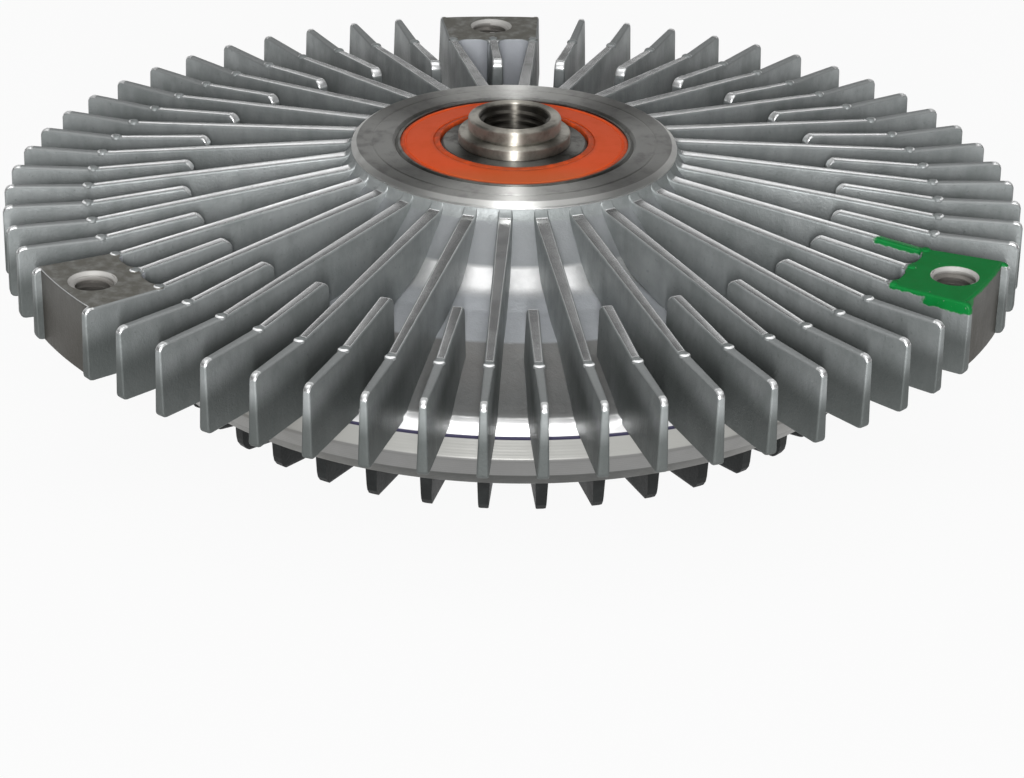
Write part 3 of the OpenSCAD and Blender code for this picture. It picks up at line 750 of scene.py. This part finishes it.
def housing_profile():
    """Section of the housing without its fins, in millimetres, with the fluid lands inside."""
    lands = []
    for i in range(5, -1, -1):
        inner = 40.2 + 4.4 * i
        lands += [(inner + 1.8, -11), (inner + 1.65, -15), (inner + 0.15, -15), (inner, -11)]
    return (
        [(20.5, -5.1), (23.5, -5.1), (23.5, 7.9), (32, 7.9), (32.15, 7.1), (32.75, 5.9), (33.7, 4.75)]
        + [(35, 3.45), (39.5, -0.7)]
        + [(40, -1.07), (41.5, -2.13), (43, -3.08), (44.1, -3.66), (44.9, -4), (46, -4.35), (49.8, -5.2), (50.3, -5.45)]
        + [(59.8, -6.6), (60.3, -6.9)]
        + [(75.0, -11.75), (75.8, -12.2)]
        + arc((75.1, -16.5), 4.4, 62, 4, 7)
        + [(79.5, -16.1), (79.2, -16.25), (79.2, -16.6), (79.5, -16.76), (79.5, -20.3)]
        + arc((78.7, -20.9), 0.95, 18, -32, 2)
        + [(76.5, -25.4)]
        + arc((72.9, -27.6), 1.2, -45, -225, 8)
        + [(74.3, -24.5), (77.05, -20.7), (77.05, -17.5), (68.6, -17.5), (68.6, -11)]
        + lands
        + [(34, -11), (29, -7.6), (20.5, -7.6)]
    )


def is_root_edge(edge, turn):
    """True for a sharp inner corner between the body and a fin at that turn, outside the cavity."""
    if len(edge.link_faces) != 2:
        return False
    at = middle(edge)
    r = math.hypot(at.x, at.y) / MM
    in_cavity = r < 68.7 and at.z < -9.5 * MM
    under_fins = at.z < -14.5 * MM
    off_body = r > 79.7 or r < 32.2
    if in_cavity or under_fins or off_body:
        return False
    a = math.radians(turn)
    across = Vector((-math.sin(a), math.cos(a), 0))
    if abs(at.dot(across)) > 2.6 * MM:
        return False
    one, two = edge.link_faces
    fin_sides = sorted(abs(f.normal.dot(across)) > 0.9 for f in (one, two))
    hollow = (middle(two) - middle(one)).dot(one.normal) > 0
    return fin_sides == [False, True] and hollow and one.normal.angle(two.normal) > math.radians(30)


def half_sector(name, fins, sizes):
    """Half a sector of the housing, from the middle of a long fin to the middle of the next place, and its fillets.

    It starts a little wider, by the spare degrees at each side, and is cut to size at the end.
    """
    spare = 1.5
    obj = trace(name, profile(housing_profile(), -spare))
    bpy.ops.mesh.spin(steps=6, angle=-math.radians(FIN_STEP + 2 * spare), center=(0, 0, 0), axis=(0, 0, 1))
    pick_all()
    bpy.ops.mesh.fill_holes(sides=0)
    mend()
    leave(obj)
    for fin, turn in fins:
        combine(obj, gather("fin_tool", [copy_of(fin, turn)]), "UNION")
    enter(obj)
    mend()
    widest = math.tan(math.radians(FIN_STEP))
    for fin, turn in fins:
        pick("EDGE", lambda e: is_root_edge(e, turn) and 0 < middle(e).y / middle(e).x < widest)
        bpy.ops.mesh.bevel(offset=sizes.fin_fillet, segments=3, affect="EDGES", clamp_overlap=True)
    for turn, outwards in ((0, -1), (FIN_STEP, 1)):
        a = math.radians(turn)
        pick_all()
        across = Vector((-math.sin(a), math.cos(a), 0)) * outwards
        bpy.ops.mesh.bisect(plane_co=(0, 0, 0), plane_no=across, clear_outer=True, threshold=1e-6)
    return leave(obj)


def pad_outline():
    """Outline of a fan pad from above, in millimetres: its inner wall is rounded into the fins beside it.

    Each side of it ends inside the fin there, past the middle of that fin by the spread.
    """
    a = math.radians(FIN_STEP)
    spread = 0.6
    edge = [(r * math.cos(a) - spread * math.sin(a), r * math.sin(a) + spread * math.cos(a)) for r in (98.6, 81.4)]
    outer = arc((0, 0), 98.6, -FIN_STEP, FIN_STEP, 6)[1:-1]
    wall = [(81, 8.0)] + arc((81.4, 5.7), 2.2, 90, 0, 5) + arc((81.4, 3.3), 2.2, 0, -90, 5) + [(81, 1.1)]
    upper = edge + wall
    lower = [(x, -y) for x, y in reversed(upper)]
    return outer + upper + lower


def pad_blank(sizes):
    """A fan pad along +X with its tapped hole."""
    obj = trace("pad", [(x * MM, y * MM, 0) for x, y in pad_outline()])
    bpy.ops.mesh.edge_face_add()
    bpy.ops.mesh.extrude_region_move(TRANSFORM_OT_translate={"value": (0, 0, -sizes.pad_height + 0.05 * MM)})
    mend()
    pick("EDGE", lambda e: abs(middle(e).z) < 1e-6)
    bpy.ops.mesh.bevel(offset=0.3 * MM, segments=3, affect="EDGES")
    mend()
    leave(obj)
    wide = sizes.hole_thread_radius / MM
    sink = sizes.sink_radius / MM
    section = [(0, -16), (wide, -16), (wide, -0.75), (sink, -0.1), (sink + 0.1, 0), (sink + 0.1, 1), (0, 1)]
    cutter = turned("hole_tool", section, 48, closed=False)
    ridge = thread("fan_thread", sizes.hole_radius / MM, wide, sizes.hole_pitch / MM, -14.2, -0.1, 36)
    for piece in (cutter, ridge):
        piece.location.x = sizes.hole_circle_radius
    cutter = gather("hole_tool", [cutter])
    combine(obj, cutter, "DIFFERENCE")
    return gather("pad", [obj, ridge])


def ejector_mark(sizes):
    """Low domed mark of an ejector pin, standing on a fin where its crest starts to climb."""
    deselect()
    height = 0.8 * MM
    place = (sizes.crest_radius, 0, 0.28 * MM - height / 2)
    bpy.ops.mesh.primitive_cylinder_add(vertices=24, radius=1.15 * MM, depth=height, location=place)
    obj = bpy.context.object
    enter(obj)
    for side, width, segments in ((1, 0.6, 5), (-1, 0.15, 1)):
        pick("EDGE", lambda e: all(v.co.z * side > height * 0.49 for v in e.verts))
        bpy.ops.mesh.bevel(offset=width * MM, segments=segments, affect="EDGES")
    return leave(obj)


class CLUTCH_OT_housing(bpy.types.Operator):
    """Models the finned rear housing: body, fins with fillets, fan pads and tapped holes"""
    bl_idname = "clutch.housing"
    bl_label = "Rear housing"
    bl_options = {"REGISTER", "UNDO"}

    def execute(self, context):
        sizes = context.scene.clutch_sizes
        long_fin = fin_blank("long_fin", sizes.long_fin_radius / MM, 0, sizes)
        short_fin = fin_blank("short_fin", sizes.short_fin_radius / MM, -8.4, sizes)
        full = half_sector("half_full", [(long_fin, 0), (short_fin, FIN_STEP)], sizes)
        bare = half_sector("half_bare", [(long_fin, 0)], sizes)
        pieces = []
        for place in range(1, FIN_PLACES, 2):
            for mirrored, beside in ((False, place + 1), (True, place - 1)):
                half = bare if beside % PAD_PLACES == 0 else full
                pieces.append(copy_of(half, 90 + FIN_STEP * place, mirrored))
        shell = gather("housing_shell", pieces)
        enter(shell)
        mend()
        leave(shell)
        mark = ejector_mark(sizes)
        others = [copy_of(mark, 90 + FIN_STEP * place) for place in range(FIN_PLACES)]
        pad = pad_blank(sizes)
        enter(short_fin)
        pick_all()
        cut = (IN_PAD * MM, 0, 0)
        bpy.ops.mesh.bisect(plane_co=cut, plane_no=(1, 0, 0), use_fill=True, clear_outer=True, threshold=1e-7)
        leave(short_fin)
        others += [copy_of(piece, turn) for piece in (pad, short_fin) for turn in PAD_TURNS]
        for spare in (long_fin, short_fin, full, bare, mark, pad):
            bpy.data.objects.remove(spare)
        housing = smooth(gather("housing_casting", [shell] + others))
        dress(housing, cast_material(context.scene.clutch_colours))
        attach(housing, "housing")
        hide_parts("rear_housing")
        return {"FINISHED"}


# Hub

class CLUTCH_OT_ring(bpy.types.Operator):
    """Models the turned ring of the housing round the bearing, with its groove"""
    bl_idname = "clutch.ring"
    bl_label = "Bearing ring of the housing"
    bl_options = {"REGISTER", "UNDO"}

    def execute(self, context):
        # From this radius out, the ring's outer edge is painted lighter as a highlight.
        bright = 30.9
        section = (
            [(31.7, 7.6), (23.7, 7.6), (23.5, 7.92), (23.5, 8.45), (23.95, 9), (27.7, 9), (27.82, 8.88)]
            + [(28, 8.85), (28.18, 8.87), (28.3, 8.97), (bright, 9), (31.05, 8.95), (31.85, 8.4)]
            + [(32, 8.25), (32.02, 7.92)]
        )
        ring = turned("housing_ring", section, context.scene.clutch_sizes.turn_steps)
        colour = context.scene.clutch_colours.turned
        finish = turned_material("turned_aluminium", colour, (0.32, 0.315, 0.31), 0.24, 0.52, 0.02, bright)
        dress(smooth(ring), finish)
        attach(ring, "housing")
        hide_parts("rear_housing")
        return {"FINISHED"}


class CLUTCH_OT_seal(bpy.types.Operator):
    """Models the orange seal of the bearing, with its beads and lip"""
    bl_idname = "clutch.seal"
    bl_label = "Bearing seal"
    bl_options = {"REGISTER", "UNDO"}

    def execute(self, context):
        section = (
            [(14.55, 8.0), (14.53, 9.0)] + arc((14.86, 9.02), 0.32, 165, 50, 4) + [(15.4, 9.24), (15.7, 9.06)]
            + arc((16.05, 8.98), 0.2, 210, 90, 3) + [(16.5, 9.16), (21.0, 8.8)] + arc((21.4, 8.74), 0.2, 200, 340, 3)
            + [(21.75, 8.78), (22.1, 8.75), (22.4, 8.55), (22.43, 7.75), (20, 7.75), (16, 7.9)]
        )
        seal = turned("rear_seal", section, context.scene.clutch_sizes.turn_steps)
        dress(smooth(seal), seal_material(context.scene.clutch_colours))
        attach(seal, "housing")
        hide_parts("bearing_rear_seal")
        return {"FINISHED"}


class CLUTCH_OT_shaft(bpy.types.Operator):
    """Models the drive shaft with its shoulder, its stub and the thread in its bore"""
    bl_idname = "clutch.shaft"
    bl_label = "Drive shaft"
    bl_options = {"REGISTER", "UNDO"}

    def execute(self, context):
        sizes = context.scene.clutch_sizes
        wide = sizes.bore_thread_radius / MM
        section = (
            [(0, -20.3), (7.9, -20.3), (8.5, -19.8), (8.5, -19.65), (7.7, -19.65), (7.7, -18.42), (8.5, -18.42)]
            + [(8.5, -5.5), (9.6, -5.1), (10, -4.7), (10, 8.92), (10.65, 8.92)]
            + arc((10.65, 9.27), 0.35, -90, 0, 3) + arc((10.6, 10.8), 0.4, 0, 90, 4)
            + [(8.95, 11.2), (8.7, 11.3), (8.7, 11.55), (8.95, 11.65), (9.1, 11.8)]
            + arc((8.6, 13.7), 0.5, 0, 90, 5)
            + [(wide + 0.35, 14.2), (wide, 13.8), (wide, -3.8), (0, -6.8)]
        )
        shaft = turned("shaft", section, sizes.turn_steps, closed=False)
        ridge = thread("drive_thread", sizes.bore_radius / MM, wide, sizes.bore_pitch / MM, -3.9, 14.4, 48)
        shaft = smooth(gather("drive_shaft_turned", [shaft, ridge]))
        colour = context.scene.clutch_colours.shaft
        dress(shaft, turned_material("turned_steel", colour, (0.2, 0.185, 0.16), 0.26, 0.4, 0.03))
        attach(shaft, "drive")
        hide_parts("drive_shaft")
        return {"FINISHED"}


# Bimetal strip

def strip_half(name, low, high, side, sizes):
    """Half of the strip from the control pin to one end, cut across at the pin."""
    obj = trace(name, [(0, low.y, low.z), (0, high.y, low.z), (0, high.y, high.z), (0, low.y, high.z)])
    bpy.ops.mesh.edge_face_add()
    round_end = sizes.strip_corner
    step = (high.x - round_end) / sizes.strip_steps
    for length in [step] * sizes.strip_steps + [round_end]:
        bpy.ops.mesh.extrude_region_move(TRANSFORM_OT_translate={"value": (side * length, 0, 0)})
    mend()
    thick = (high.z - low.z) / 2
    pick("EDGE", lambda e: abs(middle(e).x) > high.x - 0.1 * MM and abs(e.verts[0].co.z - e.verts[1].co.z) > thick)
    bpy.ops.mesh.bevel(offset=round_end, segments=6, affect="EDGES")
    mend()
    pick("EDGE", lambda e: abs(middle(e).x) > 0.01 * MM and e.calc_face_angle(0) > math.radians(60))
    bpy.ops.mesh.bevel(offset=sizes.strip_round, segments=2, affect="EDGES")
    mend()
    return smooth(leave(obj))


class CLUTCH_OT_strip(bpy.types.Operator):
    """Models the bimetal strip as two halves, held at their ends"""
    bl_idname = "clutch.strip"
    bl_label = "Bimetal strip"
    bl_options = {"REGISTER", "UNDO"}

    def execute(self, context):
        sizes = context.scene.clutch_sizes
        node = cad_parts["bimetal_strip"]
        corners = [node.matrix_world @ Vector(corner) for corner in node.bound_box]
        low = Vector([min(values) for values in zip(*corners)])
        high = Vector([max(values) for values in zip(*corners)])
        metal = plain_steel("bimetal", (0.5, 0.46, 0.36), 0.34)
        for name, side in (("bimetal_strip_left", -1), ("bimetal_strip_right", 1)):
            half = dress(strip_half(name, low, high, side, sizes), metal)
            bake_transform(half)
            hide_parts("bimetal_strip")
        return {"FINISHED"}


class CLUTCH_OT_finishes(bpy.types.Operator):
    """Gives every part of the frame that stays visible or sits inside its own finish"""
    bl_idname = "clutch.finishes"
    bl_label = "Finishes of the inner parts"
    bl_options = {"REGISTER", "UNDO"}

    def execute(self, context):
        colours = context.scene.clutch_colours
        black = rubber_material("black_rubber", (0.012, 0.012, 0.012), (0.03, 0.03, 0.03), 0.45)
        # Painted shade: the bearing rings are dark steel.
        ring = turned_material("ring_steel", colours.steel, (0.06, 0.057, 0.052), 0.5, 0.4, 0.03)
        fastener = plain_steel("fastener_steel", (0.12, 0.12, 0.13), 0.35)
        spring = plain_steel("spring_steel", (0.4, 0.41, 0.43), 0.25)
        nylon = rubber_material("nylon", (0.62, 0.55, 0.4), (0.5, 0.42, 0.28), 0.4)
        by_node = {
            "front_cover": cover_material(colours),
            "cover_seal": black,
            "pin_seal": black,
            "bearing_outer_ring": ring,
            "bearing_inner_ring": ring,
            "bearing_balls": plain_steel("ball_steel", (0.6, 0.6, 0.62), 0.12, grain=0.1),
            "bearing_cage": nylon,
            "pump_wiper": nylon,
            "bearing_front_seal": seal_material(colours),
            "rotor": turned_material("rotor_aluminium", (0.6, 0.61, 0.62), (0.4, 0.4, 0.41), 0.4, 0.32, 0.05),
            "rotor_circlip": fastener,
            "plate_screws": fastener,
            "valve_rivet": fastener,
            "separator_plate": plain_steel("sheet_steel", (0.5, 0.5, 0.48), 0.32),
            "valve_leaf": spring,
            "leaf_root": spring,
            "strip_clips": spring,
            "control_pin": plain_steel("pin_steel", (0.45, 0.45, 0.46), 0.22),
            "fill_plug": fastener,
        }
        for name, material in by_node.items():
            dress(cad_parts[name], material)
        return {"FINISHED"}


# Stage

def emissive_floor(name, colour, share):
    """A pale surface that shows white to the camera and in metal, and still takes a soft shadow."""
    s = Surface(name)
    rays = ("Is Camera Ray", "Is Glossy Ray", "Is Transmission Ray")
    seen = s.larger(*(s.node("ShaderNodeLightPath", output=ray) for ray in rays))
    tone = s.mix(colour, tuple(c * 0.985 for c in colour), s.noise(50, 2.0))
    matt = s.node("ShaderNodeBsdfDiffuse", {}, (tone,))
    glow = s.node("ShaderNodeEmission", {}, ((1, 1, 1, 1), 1.0))
    both = s.node("ShaderNodeMixShader", {}, (seen * share, matt, glow))
    s.node("ShaderNodeOutputMaterial", {}, (both,))
    return s.material


def studio_sky():
    """Soft light all round, without colour: plain in front of the part, and in bands behind it."""
    world = bpy.data.worlds.new("studio_light")
    world.use_nodes = True
    sky = Network(world.node_tree)
    x, y, z = sky.parts(sky.node("ShaderNodeTexCoord"))
    bands = sky.node("ShaderNodeValToRGB", {}, {"Fac": z})
    ramp = bands.socket.node.color_ramp.elements
    for at, level in SKY_BEHIND:
        stop = ramp[0] if at == 0 else ramp[-1] if at == 1 else ramp.new(at)
        stop.color = (level, level, level, 1)
    colour = sky.mix((SKY_FRONT, SKY_FRONT, SKY_FRONT), bands, sky.span(y, -0.25, 0.15))
    strength = 1 - sky.span(abs(x), 0.5, 0.85) * (1 - SKY_FLANKS)
    background = sky.node("ShaderNodeBackground", {}, (colour, strength))
    sky.node("ShaderNodeOutputWorld", {}, (background,))
    return world


def softbox(name, place, size, power):
    """A rectangular lamp that points at the middle of the part."""
    deselect()
    bpy.ops.object.light_add(type="AREA", location=place)
    lamp = bpy.context.object
    lamp.name = name
    lamp.data.shape = "RECTANGLE"
    lamp.data.size, lamp.data.size_y = size
    lamp.data.energy = power
    lamp.rotation_euler = (-Vector(place)).to_track_quat("-Z", "Y").to_euler()


class CLUTCH_OT_stage(bpy.types.Operator):
    """Sets the floor, the soft lights and the camera"""
    bl_idname = "clutch.stage"
    bl_label = "Floor, lights and camera"
    bl_options = {"REGISTER", "UNDO"}

    def execute(self, context):
        scene = context.scene
        deselect()
        bpy.ops.mesh.primitive_plane_add(size=40, location=(0, 0, cad_box[0].z - 0.1 * MM))
        floor = context.object
        floor.name = "studio_floor"
        leave(floor)
        dress(floor, emissive_floor("studio_white", scene.clutch_colours.floor, FLOOR_GLOW))

        scene.world = studio_sky()
        softbox("front_softbox", (-0.067, -1.098, 0.3), (0.06, 0.5), 12)
        softbox("top_softbox", (0, 0.05, 1.3), (1.6, 0.6), 6)
        softbox("fill_softbox", (-0.12, -2.0, 0.75), (0.8, 0.5), 7)

        bpy.ops.object.camera_add(location=CAMERA_PLACE)
        camera = context.object
        camera.data.sensor_width = 36
        camera.data.lens = CAMERA_LENS
        yaw, pitch, roll = (math.radians(a) for a in CAMERA_TURN)
        forward = Vector((math.cos(yaw) * math.cos(pitch), math.sin(yaw) * math.cos(pitch), -math.sin(pitch)))
        level_right = forward.cross(UP).normalized()
        level_up = level_right.cross(forward)
        right = level_right * math.cos(roll) + level_up * math.sin(roll)
        up = level_up * math.cos(roll) - level_right * math.sin(roll)
        turn = Matrix((right, up, -forward)).transposed()
        camera.rotation_euler = turn.to_euler()
        camera.data.clip_start = 0.01
        scene.camera = camera
        scene.view_settings.view_transform = "Standard"
        return {"FINISHED"}


class CLUTCH_PT_panel(bpy.types.Panel):
    """Lists the steps that build the clutch"""
    bl_idname = "CLUTCH_PT_panel"
    bl_label = "Viscous fan clutch"
    bl_space_type = "VIEW_3D"
    bl_region_type = "UI"
    bl_category = "Fan clutch"

    def draw(self, context):
        for step in STEPS:
            self.layout.operator(step.bl_idname)
        for group in (context.scene.clutch_sizes, context.scene.clutch_colours):
            for name in group.__annotations__:
                self.layout.prop(group, name)


STEPS = (
    CLUTCH_OT_housing, CLUTCH_OT_ring, CLUTCH_OT_seal, CLUTCH_OT_shaft, CLUTCH_OT_strip, CLUTCH_OT_finishes,
    CLUTCH_OT_stage,
)
CLASSES = (ClutchSizes, ClutchColours, *STEPS, CLUTCH_PT_panel)


def register():
    for item in CLASSES:
        bpy.utils.register_class(item)
    bpy.types.Scene.clutch_sizes = PointerProperty(type=ClutchSizes)
    bpy.types.Scene.clutch_colours = PointerProperty(type=ClutchColours)


def unregister():
    del bpy.types.Scene.clutch_sizes
    del bpy.types.Scene.clutch_colours
    for item in reversed(CLASSES):
        bpy.utils.unregister_class(item)


def main():
    register()
    bpy.ops.clutch.housing()
    bpy.ops.clutch.ring()
    bpy.ops.clutch.seal()
    bpy.ops.clutch.shaft()
    bpy.ops.clutch.strip()
    bpy.ops.clutch.finishes()
    bpy.ops.clutch.stage()
    deselect()


if __name__ == "__main__":
    main()
